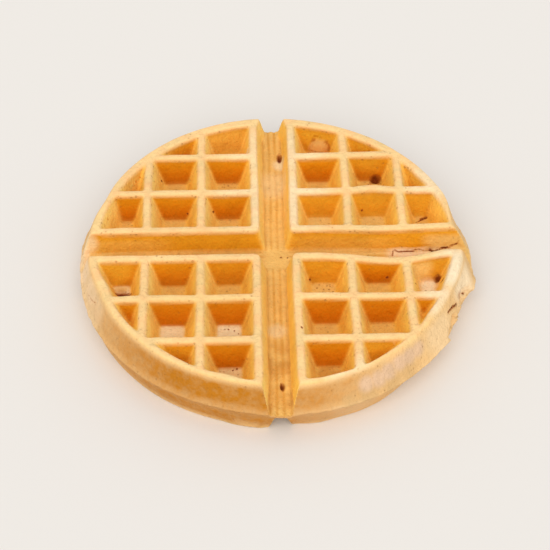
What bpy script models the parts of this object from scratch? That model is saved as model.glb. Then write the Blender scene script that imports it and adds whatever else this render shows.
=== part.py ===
# Round waffle from a two-sided iron. Each face has four quadrants of deep square pockets,
# parted by a cross of wide ridged grooves. The torn edge, pits and crack are cut as relief.
import math

import bmesh
import bpy
import numpy as np
from mathutils import Matrix, Vector

MM = 0.001

# Driving sizes
SEAM_RADIUS = 89.0 * MM
THICKNESS = 27.0 * MM
RIB_PITCH = 24.6 * MM
RIB_WIDTH = 3.8 * MM

# Outer wall, drafted from both faces to the parting seam at mid height
FACE_RADIUS = SEAM_RADIUS - 4.9 * MM
MID_HEIGHT = THICKNESS / 2
SEAM_LIP = 0.7 * MM
RIM_ROUND = 1.8 * MM
TURNS = 108
TURN_START = math.radians(1.1)

# Ribs: the first line stands beside the groove, and the rim ends the last pockets like a rib
FIRST_RIB = 0.36 * RIB_PITCH
RIM_LINE = FACE_RADIUS - 2.4 * MM
ROWS = 3
EDGE_ROUND = 1.0 * MM

# Pockets: flared at the mouth, drafted walls, a fillet round the flat floor
POCKET_DEPTH = 11.5 * MM
FLOOR_INSET = 7.0 * MM
FILLET_INSET = 5.7 * MM
FILLET_RISE = 1.2 * MM
SMALL_POCKET_DEPTH = 8.5 * MM
SMALL_POCKET_MARGIN = 1.6 * MM
CLIP_ALLOWANCE = 2.0 * MM
MOUTH_CORNER = 0.7 * MM
WALL_CORNER = 0.8 * MM
FLOOR_CORNER = 1.0 * MM
CORNER_SIDES = 3
RIM_SIDE_TURN = 6.0
CLEARANCE = 1.5 * MM

# Grooves of the cross, with fine ridges along the floor that stop at the centre
GROOVE_TOP = 6.9 * MM
GROOVE_FLOOR = 4.3 * MM
GROOVE_DEPTH = 11.6 * MM
GROOVE_FOOT = 0.5 * MM
GROOVE_FLARE = 2.4 * MM
FLARE_LENGTH = 5.0 * MM
FLARE_SHARES = ((0.0, 1.0), (0.4, 0.4), (1.0, 0.0))
OUTER_FLARE = 1.6
OUTER_RUN = 4.0 * MM
RIDGES = 4
RIDGE_HEIGHT = 0.5 * MM
HUB_HALF = 4.6 * MM
HUB_SINK = 0.15 * MM
HUB_RISE = 2.0 * MM

# Uneven outline: angle and half width in degrees, and how far the wall stands out
FACE_DENTS = ((8.5, 6.0, -2.6), (-26.0, 12.0, -1.2), (-90.0, 35.0, 1.0), (-148.0, 16.0, -0.8),
              (112.0, 25.0, 0.6))
SEAM_DENTS = ((-10.5, 4.0, 1.8), (-21.0, 6.0, -1.0), (-33.0, 5.0, 0.6), (-173.0, 12.0, -0.8),
              (-66.0, 22.0, 1.2), (-125.0, 25.0, -0.5))
BASE_DENTS = ((-38.0, 20.0, -4.0), (-104.0, 18.0, 1.4), (-150.0, 25.0, 0.6))

# Slumped and lifted places on the upper face of the near right quadrant:
# centre, reach, sideways shift and rise
SAGS = (
    (Vector((49.0, -11.0, 0.0)) * MM, 16.0 * MM, Vector((0.0, -1.3, -1.2)) * MM),
    (Vector((70.0, -12.0, 0.0)) * MM, 11.0 * MM, Vector((0.6, 0.8, 1.2)) * MM),
    (Vector((49.0, 33.0, 0.0)) * MM, 7.0 * MM, Vector((0.0, 0.9, -0.6)) * MM),
)

# Pits in the upper face: centre and half sizes
PITS = {
    "far_groove_pit": ((3.9, 69.5, 15.83), (1.1, 3.6, 2.2)),
    "near_groove_pit": ((1.2, -75.0, 15.87), (0.8, 2.1, 2.2)),
    "far_wall_hole": ((48.9, 52.0, 17.6), (2.0, 2.0, 2.0)),
    "near_wall_hole": ((72.0, -14.0, 20.0), (1.6, 1.6, 1.6)),
    "left_slit": ((-68.0, -21.5, 15.73), (4.0, 1.2, 1.2)),
}
BUBBLE_CENTRE = Vector((21.6, 70.0, 16.27)) * MM
BUBBLE_SIZE = Vector((5.2, 4.4, 4.2)) * MM

# Torn stretch of the seam at the right: bites, with ragged nubs left between them
TEAR_BITES = (((85.5, -24.5, 14.7), 4.2), ((82.0, -32.0, 14.1), 3.8), ((78.0, -40.5, 14.6), 3.2))

# Crack along the foot of the groove wall at the right
CRACK_ROUTE = ((53.7, 2.4), (62.0, 4.0), (73.0, 4.4), (79.0, 6.0), (84.5, 9.6))
CRACK_HALF_WIDTH = 0.6 * MM
CRACK_DEPTH = 2.0 * MM
CRACK_BITE = 1.6 * MM
CRACK_END_SHARE = 0.5

SMALLEST_EDGE = 0.02 * MM
WELD_DISTANCE = 0.01 * MM
SHARP_ANGLE = math.radians(35)


# Start from an empty file
for old in list(bpy.data.objects):
    bpy.data.objects.remove(old, do_unlink=True)


def new_collection(name):
    group = bpy.data.collections.new(name)
    bpy.context.scene.collection.children.link(group)
    return group


parts = new_collection("waffle")
cutters = new_collection("cutters")


def add_object(name, mesh, group):
    made = bpy.data.objects.new(name, mesh)
    group.objects.link(made)
    return made


def bake_modifiers(target):
    # keep the shape that the modifiers give as the object's own mesh
    bpy.context.view_layer.update()
    graph = bpy.context.evaluated_depsgraph_get()
    baked = bpy.data.meshes.new_from_object(target.evaluated_get(graph))
    target.modifiers.clear()
    target.data = baked


def apply_boolean(target, tool, operation="DIFFERENCE"):
    tool.hide_render = True
    tool.display_type = "WIRE"
    step = target.modifiers.new(operation.lower(), "BOOLEAN")
    step.object = tool
    step.operation = operation
    step.solver = "EXACT"
    bake_modifiers(target)
    bpy.data.objects.remove(tool, do_unlink=True)


def loft(shells, name):
    # each shell is a list of rings with equal counts of points; its two ends are capped
    sheet = bmesh.new()
    for rings in shells:
        rows = [[sheet.verts.new(point) for point in ring] for ring in rings]
        count = len(rows[0])
        for upper, lower in zip(rows, rows[1:]):
            for i in range(count):
                j = (i + 1) % count
                sheet.faces.new((upper[i], upper[j], lower[j], lower[i]))
        sheet.faces.new(rows[0])
        sheet.faces.new(rows[-1])
    bmesh.ops.recalc_face_normals(sheet, faces=sheet.faces)
    mesh = bpy.data.meshes.new(name)
    sheet.to_mesh(mesh)
    sheet.free()
    return add_object(name, mesh, cutters)


# Body

def arc_points(centre, radius, start, end, count):
    return [
        (centre[0] + radius * math.cos(math.radians(start + (end - start) * i / count)),
         centre[1] + radius * math.sin(math.radians(start + (end - start) * i / count)))
        for i in range(count + 1)
    ]


def body_profile():
    # outer wall from the upper face to the seam, then the same mirrored below
    upper = arc_points((FACE_RADIUS - RIM_ROUND, THICKNESS - RIM_ROUND), RIM_ROUND, 90, 15, 2)
    upper.append((SEAM_RADIUS - SEAM_LIP, MID_HEIGHT + SEAM_LIP))
    lower = [(radius, THICKNESS - height) for radius, height in reversed(upper)]
    return upper + [(SEAM_RADIUS, MID_HEIGHT)] + lower


def bumps(angle, dents):
    total = 0.0
    for middle, half_width, amount in dents:
        away = (angle - middle + 180.0) % 360.0 - 180.0
        total += amount * MM * math.exp(-(away / half_width) ** 2)
    return total


def shape_outline(mesh):
    for vertex in mesh.vertices:
        x, y, z = vertex.co
        radius = math.hypot(x, y)
        angle = math.degrees(math.atan2(y, x))
        side = (z - MID_HEIGHT) / MID_HEIGHT
        face = bumps(angle, FACE_DENTS if side > 0 else BASE_DENTS)
        shift = face * abs(side) + bumps(angle, SEAM_DENTS) * (1 - abs(side))
        vertex.co.x += shift * x / radius
        vertex.co.y += shift * y / radius


def cap_faces(mesh):
    # close the turned wall with one flat face above and one below
    sheet = bmesh.new()
    sheet.from_mesh(mesh)
    open_edges = [edge for edge in sheet.edges if edge.is_boundary]
    bmesh.ops.holes_fill(sheet, edges=open_edges, sides=0)
    bmesh.ops.recalc_face_normals(sheet, faces=sheet.faces)
    sheet.to_mesh(mesh)
    sheet.free()


def make_body():
    profile = body_profile()
    mesh = bpy.data.meshes.new("waffle")
    mesh.from_pydata([(r, 0.0, z) for r, z in profile], [(i, i + 1) for i in range(len(profile) - 1)], [])
    body = add_object("waffle", mesh, parts)
    turn = body.modifiers.new("turn", "SCREW")
    turn.axis = "Z"
    turn.steps = TURNS
    turn.render_steps = TURNS
    turn.use_merge_vertices = True
    turn.merge_threshold = WELD_DISTANCE
    bake_modifiers(body)
    cap_faces(body.data)
    body.data.transform(Matrix.Rotation(TURN_START, 4, "Z"))
    shape_outline(body.data)
    return body


# Pockets

def region_corners(low, high, radius):
    # corner points of a square that a disc about the waffle's centre cuts
    found = []
    for x in (low[0], high[0]):
        for y in (low[1], high[1]):
            if math.hypot(x, y) <= radius:
                found.append((x, y))
    for x in (low[0], high[0]):
        if radius > abs(x) and low[1] <= math.sqrt(radius ** 2 - x ** 2) <= high[1]:
            found.append((x, math.sqrt(radius ** 2 - x ** 2)))
    for y in (low[1], high[1]):
        if radius > abs(y) and low[0] <= math.sqrt(radius ** 2 - y ** 2) <= high[0]:
            found.append((math.sqrt(radius ** 2 - y ** 2), y))
    return found


def farthest(low, high, radius, direction):
    # the region's outermost point along a direction
    options = region_corners(low, high, radius)
    on_rim = (radius * direction[0], radius * direction[1])
    if low[0] <= on_rim[0] <= high[0] and low[1] <= on_rim[1] <= high[1]:
        options.append(on_rim)
    return max(options, key=lambda point: point[0] * direction[0] + point[1] * direction[1])


def is_clipped(cell):
    return math.hypot(cell[0] + RIB_PITCH, cell[1] + RIB_PITCH) > RIM_LINE + CLIP_ALLOWANCE


def pocket_outline(cell, inset, rounding, directions):
    low = [side + inset + rounding for side in cell]
    high = [side + RIB_PITCH - inset - rounding for side in cell]
    rim = RIM_LINE - inset - rounding if is_clipped(cell) else 2 * SEAM_RADIUS
    ring = []
    for direction in directions:
        x, y = farthest(low, high, rim, direction)
        ring.append((x + rounding * direction[0], y + rounding * direction[1]))
    return ring


def fits(cell, inset):
    # true while the pocket, narrowed by the inset, still has an inside
    return math.hypot(cell[0] + inset, cell[1] + inset) < RIM_LINE - inset


def pocket_directions(cell):
    step = 90.0 / CORNER_SIDES
    angles = [step * (i + 0.5) for i in range(4 * CORNER_SIDES)]
    if is_clipped(cell):
        middle = math.degrees(math.atan2(cell[1] + RIB_PITCH / 2, cell[0] + RIB_PITCH / 2))
        angles += [middle - RIM_SIDE_TURN, middle, middle + RIM_SIDE_TURN]
    return [(math.cos(math.radians(a)), math.sin(math.radians(a))) for a in sorted(angles)]


def pocket_levels(cell):
    # depth, inset from the rib lines and corner rounding, from above the mouth to the floor
    half_rib = RIB_WIDTH / 2
    mouth = half_rib - EDGE_ROUND
    floor_inset, depth = FLOOR_INSET, POCKET_DEPTH
    if not fits(cell, FLOOR_INSET + SMALL_POCKET_MARGIN):
        while not fits(cell, floor_inset + SMALL_POCKET_MARGIN):
            floor_inset -= 0.1 * MM
        depth = SMALL_POCKET_DEPTH
    fillet = half_rib + (floor_inset - half_rib) * (FILLET_INSET - half_rib) / (FLOOR_INSET - half_rib)
    return (
        (-CLEARANCE, mouth, MOUTH_CORNER),
        (0.0, mouth, MOUTH_CORNER),
        (EDGE_ROUND, half_rib, WALL_CORNER),
        (depth - FILLET_RISE, fillet, FLOOR_CORNER),
        (depth, floor_inset, FLOOR_CORNER),
    )


def pocket_cells():
    # near corner of each pocket in the first quadrant
    for column in range(ROWS):
        for row in range(ROWS):
            if column + row < 2 * (ROWS - 1):
                yield FIRST_RIB + column * RIB_PITCH, FIRST_RIB + row * RIB_PITCH


def face_height(depth, side):
    return THICKNESS - depth if side > 0 else depth


def make_pocket_cutter(side):
    shells = []
    for cell in pocket_cells():
        directions = pocket_directions(cell)
        flat = [(depth, pocket_outline(cell, inset, rounding, directions))
                for depth, inset, rounding in pocket_levels(cell)]
        for sign_x in (1, -1):
            for sign_y in (1, -1):
                shells.append([
                    [(sign_x * x, sign_y * y, face_height(depth, side)) for x, y in ring]
                    for depth, ring in flat
                ])
    return loft(shells, "pocket_cutter")


# Grooves

def groove_section(flare):
    # half widths and depths across the groove, from one mouth edge to the other
    wall = [
        (GROOVE_TOP + EDGE_ROUND + flare, -CLEARANCE),
        (GROOVE_TOP + EDGE_ROUND + flare, 0.0),
        (GROOVE_TOP + flare, EDGE_ROUND),
        (GROOVE_FLOOR + GROOVE_FOOT + flare / 2, GROOVE_DEPTH - FILLET_RISE),
    ]
    floor = []
    for i in range(2 * RIDGES + 1):
        across = GROOVE_FLOOR * (i / RIDGES - 1.0)
        floor.append((across, GROOVE_DEPTH - RIDGE_HEIGHT * (i % 2)))
    left = [(-half, depth) for half, depth in wall]
    return left + floor + list(reversed(wall))


def groove_stations():
    # distance along the groove and the flare of its mouth there, which ends past the outer wall
    ends = [(SEAM_RADIUS + OUTER_RUN, OUTER_FLARE * GROOVE_FLARE)]
    for inward, share in FLARE_SHARES:
        ends.append((FACE_RADIUS - inward * FLARE_LENGTH, share * GROOVE_FLARE))
    return [(-along, flare) for along, flare in ends] + [(along, flare) for along, flare in reversed(ends)]


def make_groove_cutter(side, along_x):
    rings = []
    for along, flare in groove_stations():
        ring = []
        for across, depth in groove_section(flare):
            place = (along, across) if along_x else (across, along)
            ring.append((place[0], place[1], face_height(depth, side)))
        rings.append(ring)
    return loft([rings], "groove_cutter")


def make_hub_cutter(side):
    # smooth square where the grooves cross
    low = face_height(GROOVE_DEPTH + HUB_SINK, side)
    high = face_height(GROOVE_DEPTH - HUB_RISE, side)
    bpy.ops.mesh.primitive_cube_add(size=1, location=(0, 0, (low + high) / 2))
    hub = bpy.context.object
    hub.scale = (2 * HUB_HALF, 2 * HUB_HALF, abs(high - low))
    bpy.ops.object.transform_apply(location=True, rotation=False, scale=True)
    return hub


# Relief: pits, tear, crack and bubble on the upper face

def make_ellipsoid(name, centre, size, detail):
    sheet = bmesh.new()
    bmesh.ops.create_icosphere(sheet, subdivisions=detail, radius=1.0)
    bmesh.ops.scale(sheet, vec=size, verts=sheet.verts)
    bmesh.ops.translate(sheet, vec=centre, verts=sheet.verts)
    mesh = bpy.data.meshes.new(name)
    sheet.to_mesh(mesh)
    sheet.free()
    return add_object(name, mesh, cutters)


def make_crack_cutter():
    # a narrow wedge along the route, which thins out at both ends
    floor = THICKNESS - GROOVE_DEPTH
    rings = []
    for i, (x, y) in enumerate(CRACK_ROUTE):
        share = CRACK_END_SHARE if i in (0, len(CRACK_ROUTE) - 1) else 1.0
        half = CRACK_HALF_WIDTH * share
        rings.append([
            (x * MM, y * MM - half, floor + CRACK_DEPTH),
            (x * MM, y * MM + half, floor + CRACK_DEPTH),
            (x * MM, y * MM, floor - CRACK_BITE * share),
        ])
    return loft([rings], "crack_cutter")


def split_into_triangles(mesh):
    sheet = bmesh.new()
    sheet.from_mesh(mesh)
    bmesh.ops.remove_doubles(sheet, verts=sheet.verts, dist=SMALLEST_EDGE)
    bmesh.ops.triangulate(sheet, faces=sheet.faces)
    sheet.to_mesh(mesh)
    sheet.free()


def sag_upper_face(mesh):
    # soft slumps that fade out downwards, so that the underside stays flat
    for vertex in mesh.vertices:
        share = max(0.0, vertex.co.z - MID_HEIGHT) / MID_HEIGHT
        if share == 0.0:
            continue
        here = Vector((vertex.co.x, vertex.co.y, 0.0))
        for centre, reach, shift in SAGS:
            away = (here - centre).length / reach
            vertex.co += shift * share * math.exp(-away ** 2)


def centre_on_origin(mesh):
    # the middle of the outline's box lies over the origin
    points = np.array([vertex.co for vertex in mesh.vertices])
    middle = (points.min(axis=0) + points.max(axis=0)) / 2
    for vertex in mesh.vertices:
        vertex.co.x -= middle[0]
        vertex.co.y -= middle[1]


def baked_crust():
    crust = bpy.data.materials.new("baked_crust")
    crust.use_nodes = True
    surface = crust.node_tree.nodes["Principled BSDF"]
    surface.inputs["Base Color"].default_value = (0.83, 0.52, 0.20, 1.0)
    surface.inputs["Roughness"].default_value = 0.6
    surface.inputs["Metallic"].default_value = 0.0
    return crust


def build_waffle():
    waffle = make_body()
    for side in (1, -1):
        apply_boolean(waffle, make_groove_cutter(side, along_x=True))
        apply_boolean(waffle, make_groove_cutter(side, along_x=False))
        apply_boolean(waffle, make_hub_cutter(side))
        apply_boolean(waffle, make_pocket_cutter(side))
    bubble = make_ellipsoid("bubble", BUBBLE_CENTRE, BUBBLE_SIZE, 2)
    apply_boolean(waffle, bubble, "UNION")
    for name, (centre, size) in PITS.items():
        apply_boolean(waffle, make_ellipsoid(name, Vector(centre) * MM, Vector(size) * MM, 1))
    for centre, radius in TEAR_BITES:
        size = Vector((radius, radius, radius)) * MM
        apply_boolean(waffle, make_ellipsoid("tear_bite", Vector(centre) * MM, size, 1))
    apply_boolean(waffle, make_crack_cutter())
    split_into_triangles(waffle.data)
    sag_upper_face(waffle.data)
    centre_on_origin(waffle.data)
    waffle.data.materials.clear()
    waffle.data.materials.append(baked_crust())
    waffle.data.shade_smooth()
    waffle.data.set_sharp_from_angle(angle=SHARP_ANGLE)
    return waffle


build_waffle()
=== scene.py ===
import math

import bpy
import numpy as np
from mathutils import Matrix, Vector


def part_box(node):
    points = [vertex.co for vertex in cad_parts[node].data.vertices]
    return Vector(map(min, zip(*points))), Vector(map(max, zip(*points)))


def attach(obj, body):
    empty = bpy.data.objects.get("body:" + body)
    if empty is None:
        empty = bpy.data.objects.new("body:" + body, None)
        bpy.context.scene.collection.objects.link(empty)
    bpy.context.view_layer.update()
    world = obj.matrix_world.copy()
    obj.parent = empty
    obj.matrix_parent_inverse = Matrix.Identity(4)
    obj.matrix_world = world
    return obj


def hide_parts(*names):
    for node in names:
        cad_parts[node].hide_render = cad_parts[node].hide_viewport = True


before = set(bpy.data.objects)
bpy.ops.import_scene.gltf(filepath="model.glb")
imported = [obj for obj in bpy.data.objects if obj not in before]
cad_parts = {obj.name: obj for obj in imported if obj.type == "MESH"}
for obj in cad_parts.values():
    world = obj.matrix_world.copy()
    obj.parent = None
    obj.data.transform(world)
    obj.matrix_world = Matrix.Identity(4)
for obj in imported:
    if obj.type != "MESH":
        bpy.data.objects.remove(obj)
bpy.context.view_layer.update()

frameLow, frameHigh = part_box("waffle")
millimetre = 0.001

imageSize = 550                     # width and height of the photo in pixels
view = {
    "focalPixels": 1660.0,
    "distance": 728.9,              # sizes of the waffle and the camera's place are in millimetres
    "elevation": 45.8,
    "azimuth": -1.44,
    "aim": (-0.75, -21.35, 27.0),   # from the middle of the cross
    "sensorWidth": 36.0,
    "clipEnd": 50.0,                # in metres
}

ribPitch = 24.6
iron = {
    "seamRadius": 89.0,
    "faceRadius": 84.1,
    "thickness": 27.0,
    "ribPitch": ribPitch,
    "firstRib": 0.36 * ribPitch,    # how far the ribs beside a groove lie from its middle
    "rimLine": 81.7,
    "crossMiddle": (-0.47, 0.17),   # where the cross lies in the frame
    "widthLoss": 0.1,               # how much narrower the uneven waffle is than the circle of its seam
}

pocket = {"slope": 2.447, "start": 1.49, "depth": 11.5, "shoulder": 2.3, "fillet": 2.8, "corner": 1.6}
groove = {"slope": 4.35, "start": 1.67, "depth": 11.6, "shoulder": 3.2, "fillet": 2.0, "crossing": 3.0,
          "ridgePitch": 2.9, "ridgeHeight": 0.65, "ridgeHalf": 4.3, "ridgeFade": (0.1, 0.9),
          "ridgeShare": 0.75, "valleyEdge": 0.55, "hubHalf": 4.6, "hubFade": 2.5}
# how far a groove's mouth stands back at each end, and how far its floor rises or drops there
grooveEnd = {"length": 6.0, "near": 0.6, "far": -1.3, "side": 0.0, "underside": -2.4, "undersideRise": 2.2,
             "nearDrop": 2.6, "dropReach": (-9, 2)}
wall = {"shoulder": 3.4, "edge": 0.55, "lip": 1.0}
# how the parts of a face pass into one another, and how far inside its edge they change
blend = {"edge": 2, "smoothEnd": (-12, -2), "ridgesFrom": (-1, -0.1), "rim": 0.8, "rimInGroove": 1.4,
         "intoGroove": (0.5, 3), "crown": 0.2, "swellEnd": (6, 12)}
facing = {"step": 1.0, "slopes": (0.15, 0.95)}      # slopes over which a wall comes to face one way

# the crust's unevenness: size of its bumps, seed and strength
noises = {
    "bendAcross": (21, 11, 0.30),
    "bendAcrossFine": (6, 21, 0.16),
    "bendAlong": (21, 12, 0.30),
    "bendAlongFine": (6, 22, 0.16),
    "ridgeWaver": (16, 15, 0.35),
    "ridgeStrength": (9, 16, 0.45),
    "swellBroad": (26, 31, 0.30),
    "swellMiddle": (7, 32, 0.14),
    "swellFine": (2.4, 33, 0.07),
    "lip": (2.2, 41, 0.3),
    "bite": (2.0, 51, 0.18),
    "crackAcross": (2.2, 61, 1.0),      # the cracks' strengths are in pixels of the photo
    "crackAlong": (2.2, 62, 1.0),
    "grainFine": (1.3, 71, 0.06),
    "grainBroad": (4.0, 72, 0.10),
}
noiseHeights = {"underside": 80.0, "lip": 200.0}    # heights at which these parts read the noise

# angle and half width in degrees, and how far that stretch stands out in millimetres
outline = {
    "face": ((8.5, 6, -2.6), (-30, 15, -2.2), (-62, 14, -1.0), (-84, 10, 0.8), (-160, 10, -1.2),
             (-140, 12, -0.8), (112, 25, 0.6), (100, 50, 1.0), (159, 7, -1.0)),
    "rim": ((-18, 12, -1.9), (-34, 6, -1.0), (-66, 16, 1.6), (-81, 6, 1.6), (-160, 6, -1.8),
            (-115, 8, 1.0), (-98, 6, 1.8), (112, 25, 0.6)),
    "seam": ((-10.5, 4, 1.8), (-21, 6, -1.0), (-33, 5, 0.6), (-173, 12, -0.8), (-66, 22, 1.2),
             (-125, 25, -0.5), (20, 8, -2.4), (20, 5, -1.0), (159, 7, -0.8), (-90, 6, 1.2),
             (-128, 17, 0.6)),
    "base": ((-38, 20, -4.0), (-104, 18, 1.4), (-150, 25, 0.6), (-60, 16, 1.8), (-97, 7, 1.6),
             (-128, 17, 1.2), (-150, 10, 0.5), (-79, 4, 1.0)),
}

# centre, reach and shift of each slumped or lifted place
sags = (
    ((49, -11), 16, (0, -2.0, -1.8)),
    ((62, -11), 11, (0, -0.8, -0.6)),
    ((76, -13), 8, (0.4, 0.4, 0.8)),
    ((45, 34), 7, (0, 1.2, 0.2)),
)
bubble = {"region": "pocket", "pixel": (318.5, 148.5), "size": 5.0, "height": 2.4, "flatness": 0.9,
          # rimSide, rimAt, rimFade and rimSpan place the painted shadow over the dome's upper rim
          "domeFade": (0.45, 1.0), "toneFade": (0.8, 0.98), "rimSide": (0.55, 0.85), "rimAt": 0.97,
          "rimFade": (0.04, 0.16), "rimSpan": (-0.1, 0.55),
          "rows": (68, 77)}     # the mesh is finest between these lines
# centre and radius of each bite out of the torn wall
bites = (((86.0, -26.0, 15.0), 6.4), ((83.0, -33.0, 14.1), 5.2), ((79.0, -41.0, 14.6), 4.8),
         ((77.0, -46.0, 14.0), 4.2))

# cracks: where they lie, photo pixels along them, half width, depth, and how faint they are
cracks = {
    "rightGroove": ("groove", ((392.4, 254.8), (393, 251.6), (395.6, 250.6), (403, 251), (412, 250.6),
                               (418, 249.2), (424, 249.8), (430, 249.5)), 0.45, 0.4, 0.45),
    "rightGrooveEnd": ("groove", ((430, 249.5), (433.6, 250.6), (438.8, 249.5), (442, 248.5),
                                  (448.3, 246.9), (452, 245.5)), 0.5, 1.0, 0.0),
    "rightGrooveTip": ("any", ((451, 246), (456.8, 243.7), (459, 241)), 0.4, 0.7, 0.2),
    "tear": ("outer", ((456.5, 304), (453.5, 307.5), (450, 311.5)), 0.55, 1.2, 0.3),
    "farRightPocket": ("pocket", ((414.5, 222.5), (419, 221), (422, 219)), 0.4, 0.4, 0.6),
    "farRightPocketEnd": ("pocket", ((421, 219.5), (424, 218), (427, 216.5)), 0.55, 0.6, 0.1),
    "farRightBranch": ("pocket", ((424, 218.5), (427.5, 220.5)), 0.3, 0.3, 0.5),
    "leftOfHole": ("pocket", ((373, 182), (369, 184), (365, 186)), 0.4, 0.3, 0.55),
    "rightOfHole": ("pocket", ((378, 182), (381, 184), (383.5, 185)), 0.4, 0.3, 0.55),
    "leftScratch": ("outer", ((88, 295), (91, 299), (95, 302.7)), 0.9, 0.3, 0.9),
}
crackReach = 6.0            # how far from its own route a crack can lie
crackFade = (0.3, 1.6)      # in its half widths
crackRegion = 0.3           # how surely a point has to belong to the crack's region
farAway = 50.0              # a distance at which no crack shows
pixelsPerMillimetre = 2.2   # in the middle of the view
# how a photo pixel is matched: how surely a point has to belong, and how near in pixels it has to be
pixelMatch = {"belongs": 0.6, "near": 1.5, "spare": 0.1}

# how browned the outer wall is: angle and half width in degrees, and strength
edgeBrown = ((-116, 40, 1.0), (-98, 12, 0.15), (-76, 20, 0.31), (60, 40, 0.5), (140, 28, 0.6))

# mesh steps, where the fine ones reach, and the rings of points along the wall
detail = {"ribStep": 0.5, "floorStep": 0.86, "finestStep": 0.26, "undersideStep": 1.2, "ribReach": 6.4,
          "ridgeReach": 3, "gridRadius": 78.5, "gridMargin": 2, "ringGap": 0.5, "turns": 720, "crowding": 0.5,
          "upperRings": 24, "lowerRings": 12, "lipRings": 4}

# regions that a pit, crack or patch can lie in: the depths over which they begin
regionSpans = {
    "top": (0.5, 2.5),
    "pocket": (1.0, 3.0),
    "floor": (0.1, 1.7),
    "groove": (3.0, 6.0),
    "grooveFloor": (10.0, 11.2),
    "outer": (1.0, 4.0),
    "upperWall": (8, 11),       # a height
}
# depths over which each mask for the material fades
maskSpans = {
    "ribTop": (0.2, 2.2),
    "ribEdge": (0.3, 0.9),
    "ribEdgeEnd": (1.8, 3.0),
    "pocketFloor": (0.2, 2.0),
    # painted shadow along the foot of each pocket wall
    "pocketFootShade": (8.5, 10.8),
    "pocketFootEnd": (0.0, 1.6),
    # painted shade that grows with depth on the walls
    "deepWallShade": (1.0, 9.5),
    "grooveWall": (1.0, 3.0),
    "grooveFloor": (10.0, 11.3),
    "offGroove": (-1.0, 1.0),
    "outerWall": (0.0, 1.6),
    "seamBand": (10.0, 12.5),
    "edgeBrown": (0.3, 4.0),
    "grain": (0.5, 3),
}

# pits and specks: where they lie, photo pixel, half size or half sizes, depth
pitShape = {"reach": 0.85, "steepness": 4, "limit": 4.0}
pits = {
    "farGroovePit": ("groove", (280, 158), (1.1, 3.0, 2.6), 1.6),
    "nearGroovePit": ("groove", (283.2, 386), (0.9, 2.0, 2.1), 1.6),
    "farWallHole": ("pocket", (375, 179.3), (2.5, 2.1, 2.5), 2.0),
    "heartLeft": ("pocket", (438.0, 278.3), (1.8, 1.8, 1.9), 0.8),
    "heartRight": ("pocket", (442.2, 279), (1.4, 1.3, 1.3), 0.6),
    "leftSlit": ("pocket", (121.5, 293.3), (5.4, 0.9, 1.1), 1.0),
    "farLeftDot": ("pocket", (162.5, 181), (0.65, 0.65, 0.8), 0.3),
    "farLeftWallDot": ("pocket", (187, 213), 0.55, 0.3),
    "farLeftInnerDot": ("pocket", (214, 213), 0.55, 0.3),
    "farRightDot": ("pocket", (363, 211), 0.55, 0.3),
    "nearRightDot": ("pocket", (311, 279), 0.55, 0.3),
    "nearRightSpot": ("pocket", (388, 278), 0.8, 0.5),
    "heartDot": ("pocket", (417, 283), (0.5, 0.5, 0.7), 0.3),
    "nearSpeck": ("top", (302, 326), 0.6, 0.3),
    "hubLeftPore": ("groove", (281, 256), 0.5, 0.3),
    "hubRightPore": ("groove", (287, 257), 0.4, 0.3),
    "nearLeftDot": ("floor", (238, 369), 0.5, 0.3),
    "nearLeftSecondDot": ("floor", (233, 369), 0.4, 0.3),
    "paleFloorDot": ("floor", (229, 328.5), 0.45, 0.2),
    "paleFloorSecondDot": ("floor", (235, 330), 0.4, 0.2),
    "paleFloorThirdDot": ("floor", (238, 333), 0.35, 0.2),
    "tearMouth": ("outer", (463.6, 293.2), (0.7, 0.7, 0.9), 0.7),
    "tearMiddle": ("outer", (454.6, 306), (0.8, 0.8, 0.7), 0.7),
    "tearEnd": ("outer", (450, 311), (0.75, 0.75, 0.7), 0.6),
}

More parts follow.
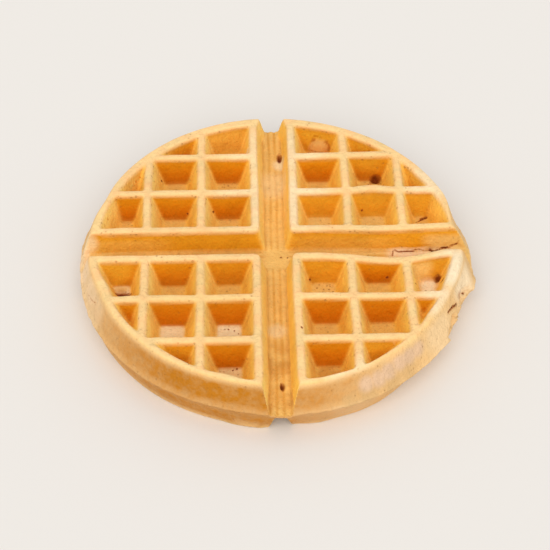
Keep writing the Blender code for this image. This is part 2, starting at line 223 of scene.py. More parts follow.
# soft patches of tone: where they lie, photo pixel, radius, strength
patchFade = (0.45, 1.15)
patches = {
    "pale": {
        "heartPocketFloor": ("floor", (430, 287), 9, 0.9),
        "slitPocketFloor": ("floor", (121, 288.5), 9, 0.9),
        "underFarGroovePit": ("groove", (281, 164), 5, 0.8),
        "nearGrooveSpot": ("groove", (276, 331), 5, 0.5),
        "smearBelowHole": ("pocket", (368, 188), 5, 0.6),
        "farLeftCorner": ("pocket", (248, 150), 3, 0.7),
        "nearLeftMiddleFloor": ("floor", (229, 331), 9, 0.9),
        "nearLeftSecondFloor": ("floor", (173, 333), 9, 0.8),
        "nearLeftLastFloor": ("floor", (233, 369), 8, 0.5),
        "leftGrooveEnd": ("any", (86, 243), 6, 0.7),
        "farGrooveStreak": ("groove", (276, 185), 11, 0.35),
    },
    "cream": {
        # painted light on the right rim and the wall below it
        "rightRimLight": ("top", (458, 268), 14, 0.9),
        "rightWallLight": ("outer", (463, 280), 12, 0.7),
        "nearRightRim": ("top", (440, 300), 11, 0.6),
        "nearRim": ("top", (352, 380), 12, 0.4),
        "farRightRim": ("top", (428, 182), 13, 0.5),
        "farRibLeftOfGroove": ("top", (255, 200), 22, 0.35),
        "farRibLeftOfGrooveEnd": ("top", (256, 150), 18, 0.3),
        "farRibRightOfGroove": ("top", (292, 200), 22, 0.5),
        "farRibRightOfGrooveEnd": ("top", (292, 150), 18, 0.4),
        "farGrooveRightWall": ("grooveWall", (286, 190), 24, 0.2),
        "heartPocketFoot": ("pocket", (427, 287), 6, 0.7),
        "leftWall": ("outer", (87, 280), 13, 0.3),
        "leftWallFoot": ("outer", (92, 306), 12, 0.3),
        "nearRightWall": ("outer", (440, 333), 12, 0.25),
        "nearLowerWall": ("lowerWall", (315, 415), 13, 0.06),
        "nearRightLowerWall": ("lowerWall", (352, 408), 13, 0.16),
    },
    # painted shade: the outer wall made darker under the rose band
    "dimShade": {
        "aboveSeam": ("outer", (352, 401), 5, 0.7),
        "underRoseStart": ("outer", (370, 396), 6, 0.8),
        "underRoseMiddle": ("outer", (392, 383), 6, 0.7),
        "underRoseEnd": ("outer", (410, 370), 6, 0.6),
    },
    "rose": {
        "bandStart": ("outer", (367, 385), 4.5, 0.9),
        "bandSecond": ("outer", (378, 378.5), 4.8, 0.9),
        "bandThird": ("outer", (389, 371), 4.8, 0.9),
        "bandFourth": ("outer", (400, 363), 4.8, 0.9),
        "bandFifth": ("outer", (410, 355.5), 4.8, 0.9),
        "bandEnd": ("outer", (419, 348), 4.5, 0.8),
    },
    "pink": {
        "rightGrooveStart": ("grooveFloor", (405, 253.5), 9, 0.9),
        "rightGrooveMiddle": ("grooveFloor", (427, 252.5), 11, 0.9),
        "rightGrooveEnd": ("grooveFloor", (449, 249), 8, 0.8),
        "leftWallTop": ("outer", (86, 258), 7, 0.7),
        "leftWallMiddle": ("outer", (84, 268), 8, 0.8),
        "leftWallFoot": ("outer", (90, 290), 7, 0.4),
    },
    "straw": {
        "rightGrooveWall": ("groove", (442, 237), 10, 0.9),
        "rightGrooveWallEnd": ("groove", (457, 240), 8, 0.9),
        "heartPocketWall": ("pocket", (418, 268), 8, 0.9),
        "farRightFloor": ("floor", (318, 223), 9, 0.8),
        "farRightSecondFloor": ("floor", (372, 223), 9, 0.7),
        "slitPocketEdge": ("floor", (121, 283.5), 4, 0.9),
        "leftGrooveWall": ("groove", (120, 240), 25, 0.25),
        "rightGrooveWallStart": ("groove", (345, 240), 30, 0.2),
        "farLeftLastWall": ("pocket", (225, 140), 14, 0.2),
        "nearRightFloor": ("floor", (324, 288), 9, 0.5),
        "nearLeftRib": ("top", (200, 298), 26, 0.3),
    },
    # lighter painted shade, laid only on walls facing the camera
    "golden": {
        "farLeftLastWall": ("pocket", (225, 140), 15, 0.8),
        "farRightFirstWall": ("pocket", (318, 202), 14, 0.6),
        "farRightSecondWall": ("pocket", (370, 204), 14, 0.7),
        "farRightThirdWall": ("pocket", (418, 208), 12, 0.9),
        "farRightRimWall": ("pocket", (372, 138), 14, 0.7),
        "farRightRimWallStart": ("pocket", (356, 143), 10, 0.7),
        "farRightSideRimWall": ("pocket", (412, 176), 10, 0.6),
        "bubblePocketWall": ("pocket", (318, 135), 12, 0.9),
        "nearRightFirstWall": ("pocket", (322, 272), 12, 0.6),
        "heartPocketWall": ("pocket", (434, 266), 10, 0.8),
        "nearRightRimWall": ("pocket", (380, 349), 12, 0.8),
        "nearLeftRimWall": ("pocket", (180, 354), 11, 0.5),
        "slitPocketWall": ("pocket", (112, 268), 12, 0.9),
        "nearLeftFirstWall": ("pocket", (228, 277), 12, 0.25),
        "nearLeftSecondWall": ("pocket", (172, 277), 12, 0.1),
        "leftGrooveWall": ("groove", (120, 240), 25, 0.6),
        "rightGrooveWall": ("groove", (345, 240), 30, 0.4),
    },
    "brown": {
        "leftWallStart": ("outer", (140, 362), 9, 0.3),
        "leftWallMiddle": ("outer", (190, 388), 9, 0.3),
        "farLeftSpot": ("pocket", (225, 146), 3, 0.4),
        "nearRightLastFloor": ("floor", (330, 369), 12, 0.8),
        "nearGrooveMiddle": ("grooveFloor", (281, 362), 14, 0.8),
        "nearGrooveStart": ("grooveFloor", (281, 300), 14, 0.2),
        "nearGrooveEnd": ("grooveFloor", (282, 402), 12, 0.7),
    },
    # painted shade in pockets of the near rows, most on walls facing the camera
    "deep": {
        "nearRightSecondRow": ("pocket", (326, 308), 14, 0.6),
        "nearRightSecondRowRight": ("pocket", (378, 308), 13, 0.5),
        "nearLeftSecondRow": ("pocket", (226, 308), 14, 0.55),
        "nearLeftSecondRowLeft": ("pocket", (174, 308), 14, 0.45),
        "nearRightLastRow": ("pocket", (330, 352), 14, 0.3),
        "nearLeftLastRow": ("pocket", (226, 350), 14, 0.3),
    },
    "rust": {
        "tearMouth": ("outer", (461, 295.5), 2.5, 0.5),
        "slitEdge": ("pocket", (121, 292), 3, 0.4),
        "nearLeftCorner": ("pocket", (246, 340), 4, 0.3),
    },
}


# Numbers

def smoothMax(first, second, reach):
    overlap = np.maximum(reach - np.abs(first - second), 0)
    return np.maximum(first, second) + overlap ** 2 / (4 * reach)


def smoothMin(first, second, reach):
    return -smoothMax(-first, -second, reach)


def ease(value, low, high):
    share = np.clip((value - low) / (high - low), 0, 1)
    return share * share * (3 - 2 * share)


def latticeNoise(points, size, seed):
    # soft random field from -1 to 1 whose bumps are about one size wide
    side = 32
    start = 500.5       # keeps every place above zero
    lattice = np.random.default_rng(seed).uniform(-1, 1, (side, side, side))
    place = points / size + start
    cell = np.floor(place).astype(int)
    share = place - cell
    share = share * share * (3 - 2 * share)
    total = np.zeros(len(points))
    for corner in np.ndindex(2, 2, 2):
        index = (cell + corner) % side
        weight = np.prod(np.where(np.array(corner) == 1, share, 1 - share), axis=1)
        total += weight * lattice[index[:, 0], index[:, 1], index[:, 2]]
    return total


def uneven(points, name):
    size, seed, strength = noises[name]
    return strength * latticeNoise(points, size, seed)


def standsOut(angle, dents):
    total = np.zeros(np.shape(angle))
    for middle, halfWidth, amount in dents:
        away = (angle - middle + 180) % 360 - 180
        total += amount * np.exp(-(away / halfWidth) ** 2)
    return total


# Shape of one face, as depth below its rib tops

def cellDistance(along):
    # distance from the nearest rib line, below zero inside the groove
    past = np.abs(along) - iron["firstRib"]
    within = np.mod(past, iron["ribPitch"])
    return np.where(past < 0, past, np.minimum(within, iron["ribPitch"] - within))


def insidePocket(x, y):
    radius = np.hypot(x, y)
    rim = iron["rimLine"] + standsOut(np.degrees(np.arctan2(y, x)), outline["rim"])
    inside = smoothMin(cellDistance(x), cellDistance(y), pocket["corner"])
    return smoothMin(inside, rim - radius, pocket["corner"])


def insideGroove(x, y):
    return smoothMax(iron["firstRib"] - np.abs(x), iron["firstRib"] - np.abs(y), groove["crossing"])


def pocketDepth(x, y):
    line = pocket["slope"] * (insidePocket(x, y) - pocket["start"])
    return smoothMin(smoothMax(line, 0, pocket["shoulder"]), pocket["depth"], pocket["fillet"])


def grooveDepth(x, y, radius, isUpper):
    end = ease(radius, iron["faceRadius"] - grooveEnd["length"], iron["faceRadius"])
    alongY = np.where(y < 0, grooveEnd["near"], grooveEnd["far"])
    opened = np.where(np.abs(y) > np.abs(x), alongY, grooveEnd["side"])
    flare = end * (opened if isUpper else grooveEnd["underside"])
    drop = grooveEnd["nearDrop"] * ease(radius - iron["faceRadius"], *grooveEnd["dropReach"])
    drop = drop * ((y < 0) & (np.abs(y) > np.abs(x)))
    floor = groove["depth"] + (drop if isUpper else -grooveEnd["undersideRise"] * end)
    line = groove["slope"] * (insideGroove(x, y) + flare - groove["start"])
    return smoothMin(smoothMax(line, 0, groove["shoulder"]), floor, groove["fillet"])


def ridgeHeight(x, y, flat):
    # fine ridges along both grooves, none on the smooth middle, and where the valleys between them lie
    total = np.zeros(len(x))
    valleys = np.zeros(len(x))
    waver = uneven(flat, "ridgeWaver")
    strength = groove["ridgeShare"] + uneven(flat, "ridgeStrength")
    for across, along in ((x, y), (y, x)):
        wave = 0.5 + 0.5 * np.cos(2 * math.pi * (across + waver) / groove["ridgePitch"])
        on = 1 - ease(np.abs(across) - groove["ridgeHalf"], *groove["ridgeFade"])
        on = on * ease(np.abs(along) - groove["hubHalf"], 0, groove["hubFade"]) * strength
        total = np.maximum(total, groove["ridgeHeight"] * wave * on)
        valleys = np.maximum(valleys, (1 - ease(wave, 0, groove["valleyEdge"])) * on)
    return total, valleys


def wallFacing(x, y):
    # how much each place lies on a wall that faces the camera, and on one that faces right
    step = facing["step"]
    walls = []
    for inside in (insidePocket, insideGroove):
        rises = (inside(x + step, y) - inside(x - step, y)) / (2 * step)
        falls = (inside(x, y - step) - inside(x, y + step)) / (2 * step)
        walls.append((ease(falls, *facing["slopes"]), ease(rises, *facing["slopes"])))
    inGroove = insideGroove(x, y) > 0
    return [np.where(inGroove, walls[1][k], walls[0][k]) for k in range(2)]


def wallDepth(radius, angle, dents):
    face = iron["faceRadius"] + standsOut(angle, dents)
    seam = iron["seamRadius"] + standsOut(angle, outline["seam"]) - wall["lip"]
    start = face - wall["edge"]
    slope = (iron["thickness"] / 2 - wall["lip"]) / (seam - start)
    return smoothMax(slope * (radius - start), 0, wall["shoulder"])


def faceDepth(points, isUpper):
    # the depth of each place below the rib tops, and what the place belongs to
    height = 0.0 if isUpper else noiseHeights["underside"]
    flat = np.column_stack((points[:, :2], np.full(len(points), height)))
    radius = np.hypot(points[:, 0], points[:, 1])
    pastFace = radius - iron["faceRadius"]
    calm = 1 - ease(pastFace, -blend["edge"], 0)
    x = points[:, 0] + (uneven(flat, "bendAcross") + uneven(flat, "bendAcrossFine")) * calm
    y = points[:, 1] + (uneven(flat, "bendAlong") + uneven(flat, "bendAlongFine")) * calm
    angle = np.degrees(np.arctan2(points[:, 1], points[:, 0]))
    inPocket = pocketDepth(x, y)
    inGroove = grooveDepth(x, y, radius, isUpper)
    outside = wallDepth(radius, angle, outline["face" if isUpper else "base"])
    ridged = 1 - ease(pastFace, *blend["smoothEnd"]) * (np.abs(x) > np.abs(y))
    onFloor = ease(inGroove - groove["depth"], *blend["ridgesFrom"]) * ridged
    ridges, valleys = (onFloor * value for value in ridgeHeight(x, y, flat))
    facesFront, facesRight = wallFacing(x, y)
    depth = np.maximum(inPocket, inGroove - ridges)
    rimBlend = blend["rim"] + blend["rimInGroove"] * ease(inGroove, *blend["intoGroove"])
    depth = smoothMax(depth, outside, rimBlend)
    depth = depth - blend["crown"] * (1 - ease(depth, 0, 1))
    swell = uneven(flat, "swellBroad") + uneven(flat, "swellMiddle") + uneven(flat, "swellFine")
    depth = depth - swell * (1 - ease(outside, *blend["swellEnd"]))
    beyondFoot = insidePocket(x, y) - pocket["start"] - pocket["depth"] / pocket["slope"]
    return {"depth": depth, "pocket": inPocket, "groove": inGroove, "outer": outside, "valley": valleys,
            "beyondFoot": beyondFoot, "facesFront": facesFront, "facesRight": facesRight}


# Mesh

def gridLines(fineStep, coarseStep, reach, finest=(0, 0)):
    # grid lines that lie closer on ribs and groove ridges than on pocket floors, and closest in one stretch
    sides = []
    for sign in (-1, 1):
        lines = [0.0]
        while lines[-1] < reach:
            offRib = abs(cellDistance(np.array([lines[-1]]))[0])
            fine = lines[-1] < iron["firstRib"] + detail["ridgeReach"] or offRib < detail["ribReach"]
            step = fineStep if fine else coarseStep
            if finest[0] < sign * lines[-1] < finest[1]:
                step = detail["finestStep"]
            lines.append(lines[-1] + step)
        sides.append(sign * np.array(lines))
    return np.concatenate((sides[0][:0:-1], sides[1]))


def discGrid(across, along, radius):
    # points and squares of a round patch whose border is drawn out to a circle
    x, y = np.meshgrid(across, along, indexing="ij")
    inDisc = np.hypot(x, y) < radius
    square = inDisc[:-1, :-1] & inDisc[1:, :-1] & inDisc[:-1, 1:] & inDisc[1:, 1:]
    around = np.zeros(x.shape, int)
    for dx, dy in np.ndindex(2, 2):
        around[dx:len(across) - 1 + dx, dy:len(along) - 1 + dy] += square
    used = around > 0
    order = np.full(x.shape, -1)
    order[used] = np.arange(used.sum())
    i, j = np.nonzero(square)
    squares = np.column_stack((order[i, j], order[i + 1, j], order[i + 1, j + 1], order[i, j + 1]))
    points = np.column_stack((x[used], y[used]))
    border = np.nonzero(around[used] < 4)[0]
    points[border] *= (radius / np.hypot(points[border, 0], points[border, 1]))[:, None]
    angle = np.arctan2(points[border, 1], points[border, 0])
    return points, squares, border[np.argsort(angle)]


def splitSquares(points, squares):
    # each square is cut along its shorter diagonal
    a, b, c, d = (points[squares[:, k]] for k in range(4))
    first = np.linalg.norm(a - c, axis=1) < np.linalg.norm(b - d, axis=1)
    one = np.where(first[:, None], squares[:, [0, 1, 2]], squares[:, [0, 1, 3]])
    two = np.where(first[:, None], squares[:, [0, 2, 3]], squares[:, [1, 2, 3]])
    return np.vstack((one, two))


def zipLoops(inner, outer, points):
    # triangles between two closed loops that are both sorted by angle
    turns = []
    for loop in (inner, outer):
        angle = np.arctan2(points[loop, 1], points[loop, 0])
        turns.append(np.append(angle, angle[0] + 2 * math.pi))
    triangles = []
    i = j = 0
    while i < len(inner) or j < len(outer):
        nextInner = turns[0][i + 1] if i < len(inner) else math.inf
        nextOuter = turns[1][j + 1] if j < len(outer) else math.inf
        here, there = inner[i % len(inner)], outer[j % len(outer)]
        if nextOuter <= nextInner:
            triangles.append((here, there, outer[(j + 1) % len(outer)]))
            j += 1
        else:
            triangles.append((here, there, inner[(i + 1) % len(inner)]))
            i += 1
    return np.array(triangles)


def ringPoints(radius, angle):
    return np.column_stack((radius * np.cos(angle), radius * np.sin(angle)))


def wallRings(count, angle, seam):
    start = np.full(len(angle), detail["gridRadius"] + detail["ringGap"])
    return [ringPoints(start + (seam - start) * k / (count - 1), angle) for k in range(count)]


def crustPoints():
    # points in the cross's millimetres, triangles, and where each point belongs
    turns = detail["turns"]
    angle = -math.pi + 2 * math.pi * (np.arange(turns) + 0.5) / turns
    angle = angle - detail["crowding"] * np.sin(4 * angle) / 4      # closer at the four ends of the grooves
    degrees = np.degrees(angle)
    seam = iron["seamRadius"] + standsOut(degrees, outline["seam"])
    reach = detail["gridRadius"] + detail["gridMargin"]
    upperAcross = gridLines(detail["ribStep"], detail["floorStep"], reach)
    upperAlong = gridLines(detail["ribStep"], detail["floorStep"], reach, bubble["rows"])
    lowerLines = gridLines(detail["undersideStep"], detail["undersideStep"], reach)
    upperGrid, upperSquares, upperBorder = discGrid(upperAcross, upperAlong, detail["gridRadius"])
    lowerGrid, lowerSquares, lowerBorder = discGrid(lowerLines, lowerLines, detail["gridRadius"])
    upperRings = wallRings(detail["upperRings"], angle, seam - wall["lip"])
    lowerRings = wallRings(detail["lowerRings"], angle, seam - wall["lip"])

    upperFlat = np.vstack([upperGrid] + upperRings)
    lowerFlat = np.vstack([lowerGrid] + lowerRings)
    upper = faceDepth(upperFlat, True)
    lower = faceDepth(lowerFlat, False)
    upperPart = np.column_stack((upperFlat, iron["thickness"] - upper["depth"]))
    lowerPart = np.column_stack((lowerFlat, lower["depth"]))

    lipPart = []
    for k in range(detail["lipRings"]):
        share = (k + 1) / (detail["lipRings"] + 1)
        height = upperPart[-turns:, 2] * (1 - share) + lowerPart[-turns:, 2] * share
        roundness = math.sin(math.pi * share)
        ring = np.column_stack((ringPoints(seam, angle), np.full(turns, noiseHeights["lip"] + k)))
        radius = seam - wall["lip"] * (1 - roundness) + uneven(ring, "lip") * roundness
        lipPart.append(np.column_stack((ringPoints(radius, angle), height)))

    points = np.vstack([upperPart] + lipPart + [lowerPart])
    belongs = {}
    lipCount = turns * detail["lipRings"]
    for name in upper:
        onLip = iron["thickness"] / 2 if name in ("outer", "depth") else 0.0
        belongs[name] = np.concatenate((upper[name], np.full(lipCount, onLip), lower[name]))
    belongs["upper"] = np.concatenate((np.ones(len(upperFlat)), np.zeros(lipCount + len(lowerFlat))))

    lowerStart = len(upperPart) + lipCount
    rings = [len(upperGrid) + k * turns + np.arange(turns) for k in range(detail["upperRings"])]
    rings += [len(upperPart) + k * turns + np.arange(turns) for k in range(detail["lipRings"])]
    firstLower = lowerStart + len(lowerGrid)
    lowerIndex = [firstLower + k * turns + np.arange(turns) for k in range(detail["lowerRings"])]
    rings += list(reversed(lowerIndex))
    sheets = [splitSquares(points, upperSquares), zipLoops(upperBorder, rings[0], points)]
    for nearer, further in zip(rings, rings[1:]):
        squares = np.column_stack((nearer, further, np.roll(further, -1), np.roll(nearer, -1)))
        sheets.append(splitSquares(points, squares))
    sheets.append(zipLoops(lowerBorder + lowerStart, lowerIndex[0], points)[:, ::-1])
    sheets.append(splitSquares(points, lowerSquares + lowerStart)[:, ::-1])
    return points, np.vstack(sheets), belongs


def pointNormals(points, triangles):
    a, b, c = (points[triangles[:, k]] for k in range(3))
    normal = np.cross(b - a, c - a)
    total = np.zeros_like(points)
    for k in range(3):
        for axis in range(3):
            total[:, axis] += np.bincount(triangles[:, k], normal[:, axis], len(points))
    return total / np.linalg.norm(total, axis=1)[:, None]


def sagUpperFace(points):
    share = np.maximum(points[:, 2] - iron["thickness"] / 2, 0) / (iron["thickness"] / 2)
    for centre, reach, shift in sags:
        away = np.hypot(points[:, 0] - centre[0], points[:, 1] - centre[1]) / reach
        points += (share * np.exp(-away ** 2))[:, None] * np.array(shift)


def raiseBubble(points, normals, seen, regions):
    # swells a dome out of one pocket, and returns masks of the dome and of the painted shadow along its upper
    # rim
    centre = points[placeAtPixel(bubble["pixel"], seen, regions[bubble["region"]])]
    across = (seen[0] - bubble["pixel"][0]) / pixelsPerMillimetre
    upward = (bubble["pixel"][1] - seen[1]) / pixelsPerMillimetre / bubble["flatness"]
    near = (np.linalg.norm(points - centre, axis=1) < 2 * bubble["size"]) * regions["any"]
    away = np.hypot(across, upward) / bubble["size"]
    points += normals * (near * bubble["height"] * (1 - ease(away, *bubble["domeFade"])))[:, None]
    side = (across * bubble["rimSide"][0] + upward * bubble["rimSide"][1]) / bubble["size"]
    rim = near * (1 - ease(np.abs(away - bubble["rimAt"]), *bubble["rimFade"]))
    return near * (1 - ease(away, *bubble["toneFade"])), rim * ease(side, *bubble["rimSpan"])


def biteTear(points):
    # pull the wall in to each bite's round, along the radius
    radius = np.hypot(points[:, 0], points[:, 1])
    angle = np.arctan2(points[:, 1], points[:, 0])
    for centre, size in bites:
        turned = angle - math.atan2(centre[1], centre[0])
        beside = np.hypot(turned * radius, points[:, 2] - centre[2])
        ragged = size * (1 + uneven(points, "bite"))
        deep = math.hypot(centre[0], centre[1]) - np.sqrt(np.maximum(ragged ** 2 - beside ** 2, 0))
        inside = (beside < ragged) & (radius > detail["gridRadius"])
        pulled = np.where(inside, np.minimum(radius, deep), radius)
        points[:, :2] *= np.divide(pulled, radius, out=np.ones_like(radius), where=radius > 0)[:, None]
        radius = pulled


# Camera

def viewAxes():
    elevation = math.radians(view["elevation"])
    azimuth = math.radians(view["azimuth"])
    back = np.array((math.sin(azimuth) * math.cos(elevation), -math.cos(azimuth) * math.cos(elevation),
                     math.sin(elevation)))
    right = np.array((math.cos(azimuth), math.sin(azimuth), 0.0))
    return right, np.cross(back, right), back


def photoPixels(points):
    # where points in the cross's millimetres fall in the photo, and how far away they are
    right, up, back = viewAxes()
    away = points - (np.array(view["aim"]) + back * view["distance"])
    distance = -(away @ back)
    half = imageSize / 2
    column = half + view["focalPixels"] * (away @ right) / distance
    row = half - view["focalPixels"] * (away @ up) / distance
    return column, row, distance


def placeAtPixel(pixel, seen, allowed):
    # the front point at a pixel, of those that belong to the wanted part of the crust
    column, row, distance = seen
    off = np.hypot(column - pixel[0], row - pixel[1])
    off = np.where(allowed > pixelMatch["belongs"], off, math.inf)
    close = np.nonzero(off < max(pixelMatch["near"], off.min() + pixelMatch["spare"]))[0]
    return close[np.argmin(distance[close])]


def crustRegions(points, belongs):
    upper = belongs["upper"]
    inGroove = ease(belongs["groove"], *regionSpans["groove"])
    onGrooveFloor = ease(belongs["groove"], *regionSpans["grooveFloor"])
    onWall = ease(belongs["outer"], *regionSpans["outer"])
    return {
        "any": upper,
        "top": upper * (1 - ease(belongs["depth"], *regionSpans["top"])),
        "pocket": upper * ease(belongs["pocket"], *regionSpans["pocket"]),
        "floor": upper * ease(belongs["beyondFoot"], *regionSpans["floor"]),
        "groove": upper * inGroove,
        "grooveWall": upper * inGroove * (1 - onGrooveFloor),
        "grooveFloor": upper * onGrooveFloor,
        "outer": onWall * ease(points[:, 2], *regionSpans["upperWall"]),
        "lowerWall": (1 - upper) * onWall,
    }


def makePits(points, normals, seen, regions):
    # returns the distance from the nearest pit, in that pit's own sizes
    nearest = np.full(len(points), pitShape["limit"])
    shift = np.zeros(len(points))
    for region, pixel, size, depth in pits.values():
        centre = points[placeAtPixel(pixel, seen, regions[region])]
        away = np.linalg.norm((points - centre) / size, axis=1)
        nearest = np.minimum(nearest, away)
        shift = np.maximum(shift, depth * np.exp(-(away / pitShape["reach"]) ** pitShape["steepness"]))
    return nearest, points - normals * shift[:, None]


def makeCracks(points, normals, seen, regions):
    # returns the distance from the nearest crack in its own half widths
    column = seen[0] + uneven(points, "crackAcross")
    row = seen[1] + uneven(points, "crackAlong")
    nearest = np.full(len(points), farAway)
    shift = np.zeros(len(points))
    for region, pixels, halfWidth, depth, faint in cracks.values():
        near = np.zeros(len(points), bool)
        for pixel in pixels:
            centre = points[placeAtPixel(pixel, seen, regions[region])]
            near |= np.linalg.norm(points - centre, axis=1) < crackReach
        near &= regions[region] > crackRegion
        away = np.full(len(points), farAway)
        for (startX, startY), (endX, endY) in zip(pixels, pixels[1:]):
            runX, runY = endX - startX, endY - startY
            share = ((column - startX) * runX + (row - startY) * runY) / (runX ** 2 + runY ** 2)
            share = np.clip(share, 0, 1)
            off = np.hypot(column - startX - share * runX, row - startY - share * runY)
            away = np.minimum(away, np.where(near, off / pixelsPerMillimetre / halfWidth, farAway))
        nearest = np.minimum(nearest, away + faint)
        shift = np.maximum(shift, depth * (1 - ease(away, *crackFade)))
    return nearest, points - normals * shift[:, None]


def patchMask(points, seen, regions, kind):
    total = np.zeros(len(points))
    for region, pixel, radius, strength in patches[kind].values():
        centre = points[placeAtPixel(pixel, seen, regions[region])]
        away = np.linalg.norm(points - centre, axis=1) / radius
        total = np.maximum(total, strength * (1 - ease(away, *patchFade)) * regions[region])
    return total


def fade(value, name):
    return ease(value, *maskSpans[name])


def crustMasks(points, belongs):
    # what the material has to know about each point
    depth = belongs["depth"]
    beyondFoot = belongs["beyondFoot"]
    offGroove = 1 - fade(belongs["groove"] - belongs["outer"], "offGroove")
    outside = fade(belongs["outer"], "outerWall") * offGroove
    inside = 1 - outside
    edge = fade(depth, "ribEdge") * (1 - fade(depth, "ribEdgeEnd"))
    foot = fade(belongs["pocket"], "pocketFootShade")
    browned = np.clip(standsOut(np.degrees(np.arctan2(points[:, 1], points[:, 0])), edgeBrown), 0, 1)
    return {
        "ribTop": 1 - fade(depth, "ribTop"),
        "ribEdge": edge * inside,
        "pocketFloor": fade(beyondFoot, "pocketFloor"),
        # painted shadow along the foot of each pocket wall
        "pocketFootShade": foot * (1 - fade(beyondFoot, "pocketFootEnd")),
        # painted shade that grows with depth on the walls
        "deepWallShade": fade(belongs["pocket"], "deepWallShade"),
        "grooveWall": fade(belongs["groove"], "grooveWall") * inside,
        "grooveFloor": fade(belongs["groove"], "grooveFloor"),
        "valley": belongs["valley"],
        "outerWall": outside,
        "lowerWall": (1 - belongs["upper"]) * outside,
        "seamBand": fade(belongs["outer"], "seamBand") * offGroove,
        # walls facing the camera, which get painted shade
        "farWallShade": belongs["facesFront"] * inside,
        # walls facing right, which get painted light
        "leftWall": belongs["facesRight"] * inside,
        "edgeBrown": browned * fade(belongs["outer"], "edgeBrown") * offGroove,
    }


def makeCrust():
    points, triangles, belongs = crustPoints()
    sagUpperFace(points)
    biteTear(points)
    seen = photoPixels(points)
    regions = crustRegions(points, belongs)
    dome, domeRimShadow = raiseBubble(points, pointNormals(points, triangles), seen, regions)
    normals = pointNormals(points, triangles)
    fromCrack, cracked = makeCracks(points, normals, seen, regions)
    fromPit, pitted = makePits(points, normals, seen, regions)
    patchMasks = {kind + "Patch": patchMask(points, seen, regions, kind) for kind in patches}
    grain = uneven(points, "grainFine") + uneven(points, "grainBroad")
    grain = grain * fade(belongs["depth"], "grain")
    points = cracked + pitted - points + normals * grain[:, None]
    points[:, 2] = np.maximum(points[:, 2], 0)
    masks = crustMasks(points, belongs)
    masks.update({"pitDistance": np.minimum(fromPit, fromCrack), "dome": dome, "domeRimShadow": domeRimShadow})
    masks.update(patchMasks)

    scale = (frameHigh[0] - frameLow[0]) / (2 * iron["seamRadius"] - iron["widthLoss"])
    placed = points + (*iron["crossMiddle"], 0.0)
    mesh = bpy.data.meshes.new("waffleCrust")
    mesh.from_pydata((placed * scale).tolist(), [], triangles.tolist())
    for name, values in masks.items():
        layer = mesh.attributes.new(name, "FLOAT", "POINT")
        layer.data.foreach_set("value", values.astype(np.float32))
    mesh.shade_smooth()
    piece = bpy.data.objects.new("waffleCrust", mesh)
    bpy.context.scene.collection.objects.link(piece)
    print("crust:", len(points), "points,", len(triangles), "triangles")
    return piece


# Material

class Wire:
    # a node socket that can be used in sums and products
    def __init__(self, tree, socket):
        self.tree = tree
        self.socket = socket

    def join(self, operation, first, second):
        node = self.tree.nodes.new("ShaderNodeMath")
        node.operation = operation
        for socket, value in zip(node.inputs, (first, second)):
            if isinstance(value, Wire):
                self.tree.links.new(value.socket, socket)
            else:
                socket.default_value = value
        return Wire(self.tree, node.outputs[0])

    def __add__(self, other):
        return self.join("ADD", self, other)

    def __radd__(self, other):
        return self.join("ADD", other, self)

    def __sub__(self, other):
        return self.join("SUBTRACT", self, other)

    def __rsub__(self, other):
        return self.join("SUBTRACT", other, self)

    def __mul__(self, other):
        return self.join("MULTIPLY", self, other)

    def __rmul__(self, other):
        return self.join("MULTIPLY", other, self)


class Finish:
    # the node tree of one material
    def __init__(self, name):
        self.material = bpy.data.materials.new(name)
        self.material.use_nodes = True
        self.tree = self.material.node_tree
        self.shader = self.tree.nodes["Principled BSDF"]

    def node(self, kind, settings, inputs, output=0):
        made = self.tree.nodes.new(kind)
        for name, value in settings.items():
            setattr(made, name, value)
        for name, value in inputs.items():
            if isinstance(value, Wire):
                self.tree.links.new(value.socket, made.inputs[name])
            else:
                made.inputs[name].default_value = value
        return Wire(self.tree, made.outputs[output])

    def place(self):
        return self.node("ShaderNodeTexCoord", {}, {}, "Object")

    def mask(self, name):
        return self.node("ShaderNodeAttribute", {"attribute_name": name}, {}, "Fac")

    def noise(self, size, steps=3.0, roughness=0.55):
        inputs = {"Vector": self.place(), "Scale": 1 / size, "Detail": steps, "Roughness": roughness}
        return self.node("ShaderNodeTexNoise", {}, inputs, "Fac")

    def cells(self, size):
        return self.node("ShaderNodeTexVoronoi", {}, {"Vector": self.place(), "Scale": 1 / size}, "Distance")

    def step(self, value, low, high):
        settings = {"interpolation_type": "SMOOTHSTEP"}
        return self.node("ShaderNodeMapRange", settings, {"Value": value, "From Min": low, "From Max": high})

    def mix(self, share, first, second, blend="MIX"):
        # inputs 6 and 7 and output 2 are the ones for colours
        settings = {"data_type": "RGBA", "blend_type": blend}
        inputs = {0: share}
        for index, colour in ((6, first), (7, second)):
            inputs[index] = colour if isinstance(colour, Wire) else (*colour, 1.0)
        return self.node("ShaderNodeMix", settings, inputs, 2)

    def feed(self, name, wire):
        self.tree.links.new(wire.socket, self.shader.inputs[name])


